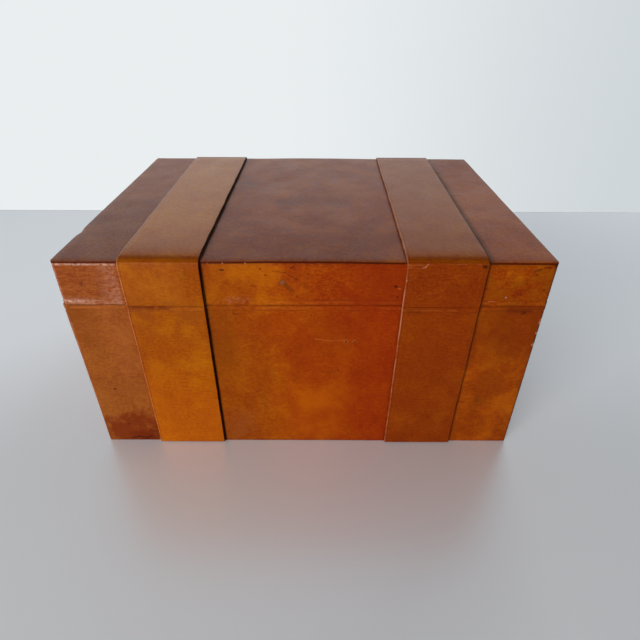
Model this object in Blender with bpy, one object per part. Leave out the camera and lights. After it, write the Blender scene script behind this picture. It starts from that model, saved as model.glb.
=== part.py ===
"""A leather-covered box for papers and keepsakes, with a lid on two butt hinges.

Metres, +Z up, the front towards -Y. The origin is the centre of the underside.
A wooden carcass is covered in leather and lined in suede, and two leather
straps run over the lid and down the front and the back, cut at the seam.
"""

import math

import bmesh
import bpy
from mathutils import Matrix, Vector

# The box over its side leather
BOX_WIDTH = 0.200
BOX_DEPTH = 0.150
BOX_HEIGHT = 0.100
LID_HEIGHT = 0.020
SEAM_GAP = 0.0004

# The carcass
BOARD_THICKNESS = 0.006
BASE_THICKNESS = 0.006
LID_BOARD_THICKNESS = 0.005

# The leather, and the room left for glue between two pieces that touch
LEATHER_THICKNESS = 0.0012
GLUE_GAP = 0.0003
CORNER_RADIUS = 0.0015
RIM_RADIUS = 0.0010
TOP_EDGE_RADIUS = 0.0008
LEAST_RADIUS = 0.0002
RIM_TURN_IN = 0.005
BASE_TURN_IN = 0.006

# The suede lining
LINER_THICKNESS = 0.0015

# The straps: how far each lies in from its side of the box at the front's
# bottom edge, and the share of its length by which it wanders to the right
STRAP_WIDTH = 0.032
STRAP_THICKNESS = 0.0012
STRAP_BEND_RADIUS = 0.0018
LEFT_STRAP_INSET = 0.0267
RIGHT_STRAP_INSET = 0.0293
LEFT_STRAP_DRIFT_SHARE = -0.0014
RIGHT_STRAP_DRIFT_SHARE = 0.0155

# The hinges, whose length and place are shares of the space between the straps
LEAF_LENGTH_SHARE = 0.3125
HINGE_OFFSET_SHARE = 0.3125
LEAF_WIDTH = 0.0066
BARREL_RADIUS = 0.0019
PIN_RADIUS = 0.00075
KNUCKLES = 5
RUNNING_GAP = 0.0003

# The hinges' countersunk screws, and how far they lie in from a leaf's ends
SCREW_END_INSET = 0.004
SCREW_LENGTH = 0.008
SCREW_POINT_LENGTH = 0.0015
SHANK_RADIUS = 0.0007
HEAD_RADIUS = 0.0014
SLOT_WIDTH = 0.0004
SLOT_DEPTH = 0.0004

# One overrun for every cut, and the steps of the round shapes
OVERRUN = 0.002
CORNER_STEPS = 4
ROUND_SIDES = 24
SMOOTH_ANGLE = math.radians(35)

# Insets from the side leather's face, worked out from the sizes above
half_width = BOX_WIDTH / 2
half_depth = BOX_DEPTH / 2
board_outer = LEATHER_THICKNESS + GLUE_GAP
board_inner = board_outer + BOARD_THICKNESS
liner_outer = board_inner + GLUE_GAP
rim_inner = liner_outer + LEATHER_THICKNESS

# Heights worked out the same way
seam_height = BOX_HEIGHT - LID_HEIGHT
body_rim = seam_height - SEAM_GAP / 2
lid_rim = seam_height + SEAM_GAP / 2
base_bottom = LEATHER_THICKNESS + GLUE_GAP
base_top = base_bottom + BASE_THICKNESS
body_board_top = body_rim - board_outer
lid_board_bottom = lid_rim + board_outer
lid_top_skin_bottom = BOX_HEIGHT - LEATHER_THICKNESS
lid_top_board_top = lid_top_skin_bottom - GLUE_GAP
lid_top_board_bottom = lid_top_board_top - LID_BOARD_THICKNESS

# The left edge of each strap at the front's bottom edge, and the space between them
left_strap_x = LEFT_STRAP_INSET - half_width
right_strap_x = half_width - RIGHT_STRAP_INSET - STRAP_WIDTH
strap_space = right_strap_x - left_strap_x - STRAP_WIDTH

# The hinge axis lies level with the seam, just behind the back leather
leaf_length = strap_space * LEAF_LENGTH_SHARE
hinge_offset = strap_space * HINGE_OFFSET_SHARE
axis_y = half_depth + RUNNING_GAP + BARREL_RADIUS
bore_radius = PIN_RADIUS + RUNNING_GAP
leaf_outer_y = axis_y - BARREL_RADIUS - RUNNING_GAP
leaf_inner_y = leaf_outer_y - LEAF_WIDTH
screw_y = leaf_outer_y - LEAF_WIDTH / 2
screw_offset = leaf_length / 2 - SCREW_END_INSET

# A leaf is as thick as the leather that it is let into. These are its faces,
# measured up or down from the seam's middle
leaf_near = SEAM_GAP / 2
leaf_far = leaf_near + LEATHER_THICKNESS


def remove_old_objects():
    for old in list(bpy.data.objects):
        bpy.data.objects.remove(old, do_unlink=True)


def material(name, colour, roughness, metallic=0.0):
    """A plain finish in the piece's own colour."""
    made = bpy.data.materials.new(name)
    made.use_nodes = True
    surface = made.node_tree.nodes["Principled BSDF"]
    surface.inputs["Base Color"].default_value = (*colour, 1)
    surface.inputs["Roughness"].default_value = roughness
    surface.inputs["Metallic"].default_value = metallic
    made.diffuse_color = (*colour, 1)
    return made


def add_object(name, shape, place, finish=None, parent=None):
    """Turns a bmesh into an object whose origin is at place in the world."""
    bmesh.ops.recalc_face_normals(shape, faces=shape.faces)
    mesh = bpy.data.meshes.new(name)
    shape.to_mesh(mesh)
    shape.free()
    mesh.shade_smooth()
    mesh.set_sharp_from_angle(angle=SMOOTH_ANGLE)
    made = bpy.data.objects.new(name, mesh)
    bpy.context.collection.objects.link(made)
    made.location = place
    if finish:
        mesh.materials.append(finish)
    if parent:
        made.parent = parent
        made.location -= parent.location
    return made


def add_empty(name, place):
    made = bpy.data.objects.new(name, None)
    bpy.context.collection.objects.link(made)
    made.location = place
    return made


def slab(name, low, high, finish=None, parent=None):
    """A rectangular piece between two corners."""
    low, high = Vector(low), Vector(high)
    shape = bmesh.new()
    bmesh.ops.create_cube(shape, size=1, matrix=Matrix.Diagonal((*(high - low), 1)))
    return add_object(name, shape, (low + high) / 2, finish, parent)


def join_rows(shape, rows, closed):
    """Joins rows of points into a skin, with a face over each end or closed on itself."""
    verts = [[shape.verts.new(point) for point in row] for row in rows]
    pairs = list(zip(verts, verts[1:]))
    if closed:
        pairs.append((verts[-1], verts[0]))
    else:
        shape.faces.new(verts[0])
        shape.faces.new(verts[-1])
    for row, following in pairs:
        for i, vert in enumerate(row):
            after = (i + 1) % len(row)
            shape.faces.new((vert, row[after], following[after], following[i]))


def arc(centre, radius, start, turn, steps=CORNER_STEPS):
    """Points of an arc that begins at the angle start, in any plane."""
    angles = [start + turn * step / steps for step in range(steps + 1)]
    return [(centre[0] + radius * math.cos(a), centre[1] + radius * math.sin(a)) for a in angles]


def rounded_rectangle(inset):
    """The outline of the box in plan, this far in from its side leather's face."""
    radius = max(CORNER_RADIUS - inset, LEAST_RADIUS)
    x = half_width - inset - radius
    y = half_depth - inset - radius
    quarter = math.pi / 2
    points = arc((x, y), radius, 0, quarter)
    points += arc((-x, y), radius, quarter, quarter)
    points += arc((-x, -y), radius, 2 * quarter, quarter)
    points += arc((x, -y), radius, 3 * quarter, quarter)
    return points


def wrapped(name, profile, closed, finish, parent=None):
    """A skin that follows the outline of the box, from a profile of (inset, height) points."""
    shape = bmesh.new()
    join_rows(shape, [[(x, y, z) for x, y in rounded_rectangle(inset)] for inset, z in profile], closed)
    return from_world(name, shape, finish, parent)


def from_world(name, shape, finish, parent):
    """An object from a bmesh drawn in the world's place, with its origin on its parent's."""
    origin = parent.location if parent else Vector()
    bmesh.ops.translate(shape, verts=shape.verts, vec=-origin)
    return add_object(name, shape, origin, finish, parent)


def turned(name, profile, place, finish=None, parent=None):
    """A round piece from a profile of (radius, height) points, closed at both ends."""
    shape = bmesh.new()
    whole = 2 * math.pi
    rows = [[(x, y, z) for x, y in arc((0, 0), radius, 0, whole, ROUND_SIDES)[:-1]] for radius, z in profile]
    join_rows(shape, rows, closed=False)
    return add_object(name, shape, place, finish, parent)


def lay_along_x(piece):
    piece.rotation_euler.y = math.pi / 2


def modify(target, operation, other):
    """Joins another shape to the target or cuts it out, and hides that shape."""
    boolean = target.modifiers.new(other.name, "BOOLEAN")
    boolean.operation = operation
    boolean.solver = "EXACT"
    boolean.object = other
    other.hide_render = True
    other.display_type = "WIRE"


def four_walls(names, inset, thickness, low_z, high_z, finish, parent=None):
    """Front, back, left and right pieces of one thickness, the side ones between the other two."""
    x, y = half_width - inset, half_depth - inset
    side_y = y - thickness - GLUE_GAP
    front, back, left, right = names
    slab(front, (-x, -y, low_z), (x, -y + thickness, high_z), finish, parent)
    slab(left, (-x, -side_y, low_z), (-x + thickness, side_y, high_z), finish, parent)
    slab(right, (x - thickness, -side_y, low_z), (x, side_y, high_z), finish, parent)
    return slab(back, (-x, y - thickness, low_z), (x, y, high_z), finish, parent)


def side_skin_profile(rim, away, far, turn_in):
    """A side skin's section: its wall, the fold over the rim and the leg behind the lining.

    away is -1 where the wall hangs below its rim and 1 where it stands above it.
    far is the height of the wall's other edge, and turn_in how far that edge is
    folded under the box, or 0 where it is cut off.
    """
    reach = abs(far - rim)
    quarter = math.pi / 2
    radius = RIM_RADIUS
    if turn_in:
        section = [(turn_in, reach)]
        section += arc((radius, reach - radius), radius, quarter, quarter)
    else:
        section = [(0, reach)]
    section += arc((radius, radius), radius, 2 * quarter, quarter)
    section += arc((rim_inner - radius, radius), radius, 3 * quarter, quarter)
    section += [(rim_inner, RIM_TURN_IN), (liner_outer, RIM_TURN_IN)]
    section += [(liner_outer, LEATHER_THICKNESS), (LEATHER_THICKNESS, LEATHER_THICKNESS)]
    if turn_in:
        section += [(LEATHER_THICKNESS, reach - LEATHER_THICKNESS), (turn_in, reach - LEATHER_THICKNESS)]
    else:
        section.append((LEATHER_THICKNESS, reach))
    return [(inset, rim + away * depth) for inset, depth in section]


def strap_stations():
    """A strap's way in the YZ plane, up the front, over the lid and down the back.

    Each station is an outer and an inner point.
    """
    quarter = math.pi / 2
    inner = half_depth + GLUE_GAP
    outer = inner + STRAP_THICKNESS
    inner_radius = STRAP_BEND_RADIUS - STRAP_THICKNESS
    bend_y = inner - inner_radius
    bend_z = BOX_HEIGHT + GLUE_GAP - inner_radius
    heights = (GLUE_GAP, body_rim, lid_rim)
    front = [((-outer, z), (-inner, z)) for z in heights]
    back = [((outer, z), (inner, z)) for z in reversed(heights)]
    bends = []
    for centre_y, start in ((-bend_y, 2 * quarter), (bend_y, quarter)):
        outside = arc((centre_y, bend_z), STRAP_BEND_RADIUS, start, -quarter)
        bends += zip(outside, arc((centre_y, bend_z), inner_radius, start, -quarter))
    return front + bends + back


def strap(names, left_x, drift_share, finish, lid_axis):
    """One strap, cut at the seam into the body's front piece, the lid's piece and the body's back piece."""
    stations = strap_stations()
    run = 0
    last = stations[0][0]
    sections = []
    for outer, inner in stations:
        run += math.dist(last, outer)
        last = outer
        left = left_x + drift_share * run
        right = left + STRAP_WIDTH
        sections.append([(left, *outer), (right, *outer), (right, *inner), (left, *inner)])
    lengths = (sections[:2], sections[2:-2], sections[-2:])
    for name, length, parent in zip(names, lengths, (None, lid_axis, None)):
        shape = bmesh.new()
        join_rows(shape, length, closed=False)
        from_world(name, shape, finish, parent)


def knuckles(name, hinge_x, side):
    """Every second knuckle of a hinge, each with the tab that joins it to its leaf.

    side is -1 for the body's leaf, which lies under the axis, and 1 for the lid's.
    """
    near_angle = math.pi - math.asin(leaf_near / BARREL_RADIUS)
    far_angle = math.pi - math.asin(leaf_far / BARREL_RADIUS)
    around = 2 * math.pi - (near_angle - far_angle)
    tab_y = leaf_outer_y - BARREL_RADIUS
    outline = arc((axis_y, 0), BARREL_RADIUS, near_angle, around, ROUND_SIDES)
    outline += [(tab_y, leaf_far), (tab_y, leaf_near)]
    length = (leaf_length - RUNNING_GAP * (KNUCKLES - 1)) / KNUCKLES
    first = 0 if side < 0 else 1
    shape = bmesh.new()
    for number in range(first, KNUCKLES, 2):
        start_x = hinge_x - leaf_length / 2 + number * (length + RUNNING_GAP)
        rows = [[(x, y, side * height) for y, height in outline] for x in (start_x, start_x + length)]
        join_rows(shape, rows, closed=False)
    return add_object(name, shape, (0, 0, seam_height))


def hinge_leaf(name, hinge_x, side, screw_holes, finish, parent):
    """A leaf on the rim of the back wall, with its knuckles, bore and countersunk holes."""
    low_z, high_z = sorted(seam_height + side * height for height in (leaf_near, leaf_far))
    low = (hinge_x - leaf_length / 2, leaf_inner_y, low_z)
    high = (hinge_x + leaf_length / 2, leaf_outer_y, high_z)
    leaf = slab(name, low, high, finish, parent)
    modify(leaf, "UNION", knuckles(f"{name}_knuckles", hinge_x, side))
    reach = leaf_length / 2 + OVERRUN
    bore = turned(f"{name}_bore", [(bore_radius, -reach), (bore_radius, reach)], (hinge_x, axis_y, seam_height))
    lay_along_x(bore)
    modify(leaf, "DIFFERENCE", bore)
    for hole in screw_holes:
        modify(leaf, "DIFFERENCE", hole)


def screw_profile(side):
    """A countersunk screw, from its head at the leaf's face to its point."""
    profile = [
        (HEAD_RADIUS, leaf_near),
        (SHANK_RADIUS, leaf_near + HEAD_RADIUS - SHANK_RADIUS),
        (SHANK_RADIUS, leaf_near + SCREW_LENGTH - SCREW_POINT_LENGTH),
        (LEAST_RADIUS, leaf_near + SCREW_LENGTH),
    ]
    return [(radius, side * height) for radius, height in profile]


def screw_hole_profile(side):
    """The hole for a screw, through the leaf and into the board, with a gap all round."""
    mouth, bore = HEAD_RADIUS + GLUE_GAP, SHANK_RADIUS + GLUE_GAP
    profile = [
        (mouth, leaf_near - OVERRUN),
        (mouth, leaf_near),
        (bore, leaf_near + mouth - bore),
        (bore, leaf_near + SCREW_LENGTH + GLUE_GAP),
    ]
    return [(radius, side * height) for radius, height in profile]


def screws_and_holes(name, hinge_x, side, finish, parent):
    """Two slotted screws in one leaf. Returns the shapes that cut their holes."""
    holes = []
    for number, offset in enumerate((-screw_offset, screw_offset), start=1):
        x = hinge_x + offset
        place = (x, screw_y, seam_height)
        screw_name = f"{name}_screw_{number}"
        screw = turned(screw_name, screw_profile(side), place, finish, parent)
        faces = (leaf_near - OVERRUN, leaf_near + SLOT_DEPTH)
        low_z, high_z = sorted(seam_height + side * height for height in faces)
        reach = HEAD_RADIUS + OVERRUN
        low = (x - reach, screw_y - SLOT_WIDTH / 2, low_z)
        high = (x + reach, screw_y + SLOT_WIDTH / 2, high_z)
        modify(screw, "DIFFERENCE", slab(f"{screw_name}_slot", low, high))
        holes.append(turned(f"{screw_name}_hole", screw_hole_profile(side), place))
    return holes


def hinge(label, hinge_x, halves, brass, screw_brass):
    """A butt hinge let into the leather of both back rims.

    halves holds, for the body and then the lid, its parent, back board and side skin.
    """
    low = (hinge_x - leaf_length / 2 - GLUE_GAP, leaf_inner_y - GLUE_GAP, body_board_top)
    high = (hinge_x + leaf_length / 2 + GLUE_GAP, half_depth + OVERRUN, lid_board_bottom)
    recess = slab(f"hinge_{label}_recess", low, high)
    for side, half, (parent, back_board, side_skin) in zip((-1, 1), ("body", "lid"), halves):
        name = f"hinge_{label}_{half}"
        holes = screws_and_holes(name, hinge_x, side, screw_brass, parent)
        hinge_leaf(f"{name}_leaf", hinge_x, side, holes, brass, parent)
        modify(side_skin, "DIFFERENCE", recess)
        for hole in holes:
            modify(back_board, "DIFFERENCE", hole)
    pin = [(PIN_RADIUS, -leaf_length / 2), (PIN_RADIUS, leaf_length / 2)]
    lay_along_x(turned(f"hinge_{label}_pin", pin, (hinge_x, axis_y, seam_height), screw_brass))


def body(wood, leather, suede, felt):
    """The carcass of the body with its skin, felt and lining. Returns the back board and the skin."""
    x, y = half_width - board_outer, half_depth - board_outer
    slab("base_board", (-x, -y, base_bottom), (x, y, base_top), wood)
    names = ("body_front_board", "body_back_board", "body_left_board", "body_right_board")
    board_bottom = base_top + GLUE_GAP
    back_board = four_walls(names, board_outer, BOARD_THICKNESS, board_bottom, body_board_top, wood)
    profile = side_skin_profile(body_rim, -1, 0, BASE_TURN_IN)
    skin = wrapped("body_side_leather", profile, True, leather)
    x, y = (half - BASE_TURN_IN - GLUE_GAP for half in (half_width, half_depth))
    slab("underside_felt", (-x, -y, 0), (x, y, LEATHER_THICKNESS), felt)

    x, y = half_width - liner_outer, half_depth - liner_outer
    floor_top = board_bottom + LINER_THICKNESS
    slab("liner_floor", (-x, -y, board_bottom), (x, y, floor_top), suede)
    names = ("liner_front", "liner_back", "liner_left", "liner_right")
    low_z, high_z = floor_top + GLUE_GAP, body_rim - RIM_TURN_IN - GLUE_GAP
    four_walls(names, liner_outer, LINER_THICKNESS, low_z, high_z, suede)
    return back_board, skin


def lid(axis, wood, leather, suede):
    """The carcass of the lid with its two skins and its lining. Returns the back board and the side skin."""
    x, y = half_width - board_outer, half_depth - board_outer
    slab("lid_top_board", (-x, -y, lid_top_board_bottom), (x, y, lid_top_board_top), wood, axis)
    names = ("lid_front_board", "lid_back_board", "lid_left_board", "lid_right_board")
    board_top = lid_top_board_bottom - GLUE_GAP
    back_board = four_walls(names, board_outer, BOARD_THICKNESS, lid_board_bottom, board_top, wood, axis)
    profile = side_skin_profile(lid_rim, 1, lid_top_board_top, 0)
    skin = wrapped("lid_side_leather", profile, True, leather, axis)
    edge_centre = (TOP_EDGE_RADIUS, BOX_HEIGHT - TOP_EDGE_RADIUS)
    edge = arc(edge_centre, TOP_EDGE_RADIUS, math.pi, -math.pi / 2)
    wrapped("lid_top_leather", [(0, lid_top_skin_bottom)] + edge, False, leather, axis)

    x, y = half_width - liner_outer, half_depth - liner_outer
    ceiling = board_top - LINER_THICKNESS
    slab("lid_liner_top", (-x, -y, ceiling), (x, y, board_top), suede, axis)
    names = ("lid_liner_front", "lid_liner_back", "lid_liner_left", "lid_liner_right")
    low_z, high_z = lid_rim + RIM_TURN_IN + GLUE_GAP, ceiling - GLUE_GAP
    four_walls(names, liner_outer, LINER_THICKNESS, low_z, high_z, suede, axis)
    return back_board, skin


remove_old_objects()

wood = material("wood", (0.42, 0.27, 0.15), 0.7)
leather = material("leather", (0.20, 0.045, 0.012), 0.4)
strap_leather = material("strap_leather", (0.22, 0.055, 0.014), 0.4)
suede = material("suede", (0.16, 0.09, 0.05), 0.95)
felt = material("felt", (0.03, 0.025, 0.02), 1.0)
brass = material("brass", (0.62, 0.42, 0.16), 0.35, 1.0)
screw_brass = material("screw_brass", (0.55, 0.38, 0.17), 0.4, 1.0)

lid_axis = add_empty("lid_hinge_axis", (0, axis_y, seam_height))
halves = (None, *body(wood, leather, suede, felt)), (lid_axis, *lid(lid_axis, wood, leather, suede))
straps = (("left", left_strap_x, LEFT_STRAP_DRIFT_SHARE), ("right", right_strap_x, RIGHT_STRAP_DRIFT_SHARE))
for label, left_x, drift_share in straps:
    names = (f"body_strap_front_{label}", f"lid_strap_{label}", f"body_strap_back_{label}")
    strap(names, left_x, drift_share, strap_leather, lid_axis)
for label, hinge_x in (("left", -hinge_offset), ("right", hinge_offset)):
    hinge(label, hinge_x, halves, brass, screw_brass)
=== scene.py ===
import math

import bmesh
import bpy
from mathutils import Matrix, Vector


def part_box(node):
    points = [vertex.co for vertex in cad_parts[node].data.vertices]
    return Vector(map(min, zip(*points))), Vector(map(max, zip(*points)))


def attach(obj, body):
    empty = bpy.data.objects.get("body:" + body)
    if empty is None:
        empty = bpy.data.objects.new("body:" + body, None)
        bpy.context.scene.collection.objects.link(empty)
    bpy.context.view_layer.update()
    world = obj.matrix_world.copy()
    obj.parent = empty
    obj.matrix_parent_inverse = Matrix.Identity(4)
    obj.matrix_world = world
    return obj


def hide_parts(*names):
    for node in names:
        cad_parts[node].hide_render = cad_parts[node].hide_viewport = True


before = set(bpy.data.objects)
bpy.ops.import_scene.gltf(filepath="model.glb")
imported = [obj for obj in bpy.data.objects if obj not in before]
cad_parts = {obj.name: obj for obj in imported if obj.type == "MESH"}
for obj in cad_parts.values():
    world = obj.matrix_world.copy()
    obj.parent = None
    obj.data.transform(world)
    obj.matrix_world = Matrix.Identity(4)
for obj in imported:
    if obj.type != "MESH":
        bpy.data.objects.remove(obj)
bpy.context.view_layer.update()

MM = 0.001


# Carcass boards of the body and the lid.
# Thin planed boards of a plain pale wood, glued into a tray and a shallow lid, which carry
# the leather outside and the lining inside. They stay as the CAD has them.

class Value:
    """A value of a finish. Sums of values make the Math nodes they need."""

    def __init__(self, finish, socket):
        self.finish, self.socket = finish, socket

    def maths(self, operation, *values):
        places = dict(enumerate(values))
        return self.finish.node("ShaderNodeMath", {"operation": operation}, places)

    def __add__(self, other):
        return self.maths("ADD", self, other)

    def __sub__(self, other):
        return self.maths("SUBTRACT", self, other)

    def __rsub__(self, other):
        return self.maths("SUBTRACT", other, self)

    def __mul__(self, other):
        return self.maths("MULTIPLY", self, other)

    def __truediv__(self, other):
        return self.maths("DIVIDE", self, other)

    def __pow__(self, other):
        return self.maths("POWER", self, other)

    __radd__, __rmul__ = __add__, __mul__

    def __abs__(self):
        return self.maths("ABSOLUTE", self)

    def most(self, other):
        return self.maths("MAXIMUM", self, other)

    def least(self, other):
        return self.maths("MINIMUM", self, other)

    def rise(self, low, high):
        """0 up to low, 1 from high on, and smooth between them. It falls where high is the lower."""
        if low > high:
            return 1 - self.rise(high, low)
        return self.finish.node("ShaderNodeMapRange", {"interpolation_type": "SMOOTHSTEP"},
                                {0: self, 1: low, 2: high})

    def near(self, middle, reach):
        """1 at the middle value, falling smoothly to 0 at reach on either side."""
        return abs(self - middle).rise(reach, 0)


class Finish:
    """A material, made from patterns on the piece's own place in metres."""

    def __init__(self, name):
        self.material = bpy.data.materials.new(name)
        self.material.use_nodes = True
        self.tree = self.material.node_tree
        self.tree.nodes.clear()
        self.place = self.node("ShaderNodeTexCoord", out="Object")
        self.x, self.y, self.z = (self.node("ShaderNodeSeparateXYZ", values={0: self.place}, out=axis)
                                  for axis in "XYZ")

    def node(self, kind, settings=None, values=None, out=0):
        node = self.tree.nodes.new(kind)
        for key, setting in (settings or {}).items():
            if key == "stops":
                ramp = node.color_ramp
                while len(ramp.elements) < len(setting):
                    ramp.elements.new(0.5)
                for element, (at, colour) in zip(ramp.elements, setting):
                    element.position, element.color = at, (*colour, 1)
            else:
                setattr(node, key, setting)
        for key, value in (values or {}).items():
            if isinstance(value, Value):
                self.tree.links.new(value.socket, node.inputs[key])
            else:
                node.inputs[key].default_value = value
        return Value(self, node.outputs[out])

    def stretched(self, sizes, turn=(0, 0, 0)):
        """The place divided by three sizes, for a pattern that is longer one way than another."""
        scale = tuple(1 / size for size in sizes)
        return self.node("ShaderNodeMapping", values={"Vector": self.place, "Rotation": turn, "Scale": scale})

    def clouds(self, size, detail=3, rough=0.55, place=None, shift=0):
        """Soft clouds of about this size, 0 to 1 round 0.5."""
        values = {"Vector": place or self.place, "W": shift, "Scale": 1 / size, "Detail": detail,
                  "Roughness": rough}
        return self.node("ShaderNodeTexNoise", {"noise_dimensions": "4D"}, values)

    def mixed(self, first, second, share):
        """The first colour going over to the second one as share goes from 0 to 1."""
        colours = [c if isinstance(c, Value) else (*c, 1) for c in (first, second)]
        return self.node("ShaderNodeMix", {"data_type": "RGBA"}, {0: share, 6: colours[0], 7: colours[1]},
                         out=2)

    def dimmed(self, colour, share):
        """The colour times a plain value."""
        return self.node("ShaderNodeVectorMath", {"operation": "SCALE"}, {0: colour, "Scale": share})

    def bumps(self, height, depth, under=None):
        """The normal over a height of 0 to 1 that stands this deep, in metres."""
        values = {"Height": height, "Distance": depth, "Strength": 1.0}
        if under:
            values["Normal"] = under
        return self.node("ShaderNodeBump", values=values)

    def shade(self, values):
        """Ends the material in one Principled shader."""
        shader = self.node("ShaderNodeBsdfPrincipled", values=values)
        self.close(shader)
        return self.material

    def close(self, shader):
        output = self.tree.nodes.new("ShaderNodeOutputMaterial")
        self.tree.links.new(shader.socket, output.inputs["Surface"])


def board_wood(name, lengthways):
    """Pale wood with its grain along x (0) or y (1)."""
    wood = Finish(name)
    sizes = [7 * MM, 7 * MM, 7 * MM]
    sizes[lengthways] = 120 * MM
    rings = wood.node("ShaderNodeTexWave", {"bands_direction": "Z"},
                      {"Vector": wood.stretched(sizes), "Scale": 0.45, "Distortion": 5.0, "Detail": 3.0,
                       "Detail Scale": 1.2}, out="Fac")
    sizes = [0.5 * MM, 0.5 * MM, 0.5 * MM]
    sizes[lengthways] = 18 * MM
    fibres = wood.clouds(1, 4, 0.6, wood.stretched(sizes))
    patches = wood.clouds(40 * MM)
    colour = wood.mixed((0.52, 0.35, 0.19), (0.36, 0.21, 0.10), rings * 0.75)
    colour = wood.dimmed(colour, 0.78 + 0.3 * fibres + 0.16 * patches)
    return wood.shade({"Base Color": colour, "Roughness": 0.62 + 0.2 * (fibres - 0.5),
                       "Normal": wood.bumps(fibres, 0.06 * MM), "Specular IOR Level": 0.35})


def dress(node, material):
    """Gives a carried-over CAD node its finish."""
    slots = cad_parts[node].material_slots
    for place in slots:
        place.material = material


wood_along_x = board_wood("board_wood_along_x", 0)
wood_along_y = board_wood("board_wood_along_y", 1)
for board in ("base_board", "lid_top_board", "body_front_board", "body_back_board", "lid_front_board",
              "lid_back_board"):
    dress(board, wood_along_x)
for board in ("body_left_board", "body_right_board", "lid_left_board", "lid_right_board"):
    dress(board, wood_along_y)


# Side leather of the body.
# One skin of vegetable-tanned hide with a fine pebbled grain, pasted round the four walls.
# It rolls over the rim, ends inside the tray, and is turned in under the base board.

WIDTH, DEPTH = 200 * MM, 150 * MM
BODY_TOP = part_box("body_side_leather")[1].z + 0.14 * MM
HIDE = 1.2 * MM
RIM_LAP = 9 * MM
TURNED_IN = 5 * MM
UNDER_LAP = 6 * MM
CORNER_ROUND = 1.4 * MM
RIM_ROUND = 0.32 * MM
ROLL = 2.4 * MM


def add(name, kind, centre, size, turn=(0, 0, 0), **settings):
    """Adds a primitive with this centre and size, placed in its mesh, in edit mode with nothing selected."""
    bpy.ops.object.select_all(action="DESELECT")
    getattr(bpy.ops.mesh, f"primitive_{kind}_add")(size=1, location=centre, rotation=turn, **settings)
    piece = bpy.context.object
    piece.name = piece.data.name = name
    piece.scale = size
    bpy.ops.object.transform_apply(location=True, rotation=True, scale=True)
    bpy.ops.object.mode_set(mode="EDIT")
    bpy.ops.mesh.select_all(action="DESELECT")
    return piece


def pick(kind, test):
    """Selects only the edited piece's VERT, EDGE or FACE parts that pass the test."""
    bpy.ops.mesh.select_mode(type=kind)
    bpy.ops.mesh.select_all(action="DESELECT")
    mesh = bpy.context.object.data
    shape = bmesh.from_edit_mesh(mesh)
    parts = {"VERT": shape.verts, "EDGE": shape.edges, "FACE": shape.faces}[kind]
    for part in parts:
        if test(part):
            part.select_set(True)
    shape.select_flush_mode()
    bmesh.update_edit_mesh(mesh)


def runs(edge, axis, least):
    """True if the edge runs along this axis and is longer than least."""
    way = edge.verts[1].co - edge.verts[0].co
    return abs(way[axis]) > least and abs(way[axis]) > 0.98 * way.length


def divide(axis, step, least=5 * MM):
    """Cuts the edited piece's long edges along one axis into steps."""
    mesh = bpy.context.object.data
    shape = bmesh.from_edit_mesh(mesh)
    longest = max((abs(e.verts[1].co[axis] - e.verts[0].co[axis]) for e in shape.edges
                   if runs(e, axis, least)), default=0)
    pick("EDGE", lambda edge: runs(edge, axis, least))
    bpy.ops.mesh.subdivide(number_cuts=max(1, round(longest / step) - 1))


def leave(piece):
    """Goes back to object mode with the piece's faces pointing outwards as they are."""
    bpy.ops.object.mode_set(mode="OBJECT")
    return piece


def modify(piece, kind, **settings):
    """Adds a modifier and applies it."""
    bpy.context.view_layer.objects.active = piece
    modifier = piece.modifiers.new(kind.lower(), kind)
    for key, setting in settings.items():
        setattr(modifier, key, setting)
    bpy.ops.object.modifier_apply(modifier=modifier.name)


def unevenness(size, name="hand_worked"):
    """The clouds that make a surface a little uneven, of this size."""
    texture = bpy.data.textures.new(name, "CLOUDS")
    texture.noise_scale, texture.noise_depth = size, 1
    return texture


def nudge(piece, move):
    """Moves each point of a finished mesh by a small amount, as a hand would."""
    for vert in piece.data.vertices:
        vert.co += Vector(move(vert.co))


def smooth(low, high, value):
    share = min(1, max(0, (value - low) / (high - low)))
    return share * share * (3 - 2 * share)


def fit(piece, material, body, slot, *nodes):
    """Smooths the piece, gives it its finish, and lets it stand for its nodes on its body."""
    bpy.ops.object.select_all(action="DESELECT")
    piece.select_set(True)
    bpy.context.view_layer.objects.active = piece
    bpy.ops.object.shade_smooth_by_angle(angle=math.radians(38))
    piece.data.materials.clear()
    piece.data.materials.append(material)
    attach(piece, body)
    if nodes:
        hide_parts(*nodes)


def clear_leaf(leaf, floor, way):
    """Cuts the room for a hinge leaf out of the edited skin's rim, from floor out."""
    sides = (leaf[0].x - 0.15 * MM, leaf[1].x + 0.15 * MM)
    inner = 68.2 * MM

    def nearby(part):
        middle = part.calc_center_median()
        return middle.y > 60 * MM and (middle.z - floor) * way > -6 * MM and abs(
            middle.x - sum(sides) / 2) < 20 * MM

    cuts = [((x, 0, 0), (1, 0, 0)) for x in sides] + [((0, inner, 0), (0, 1, 0)), ((0, 0, floor), (0, 0, 1))]
    for place, across in cuts:
        pick("FACE", nearby)
        bpy.ops.mesh.bisect(plane_co=place, plane_no=across)

    def in_room(face):
        middle = face.calc_center_median()
        return sides[0] < middle.x < sides[1] and middle.y > inner and (middle.z - floor) * way > 0

    pick("FACE", in_room)
    bpy.ops.mesh.delete(type="FACE")


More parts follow.
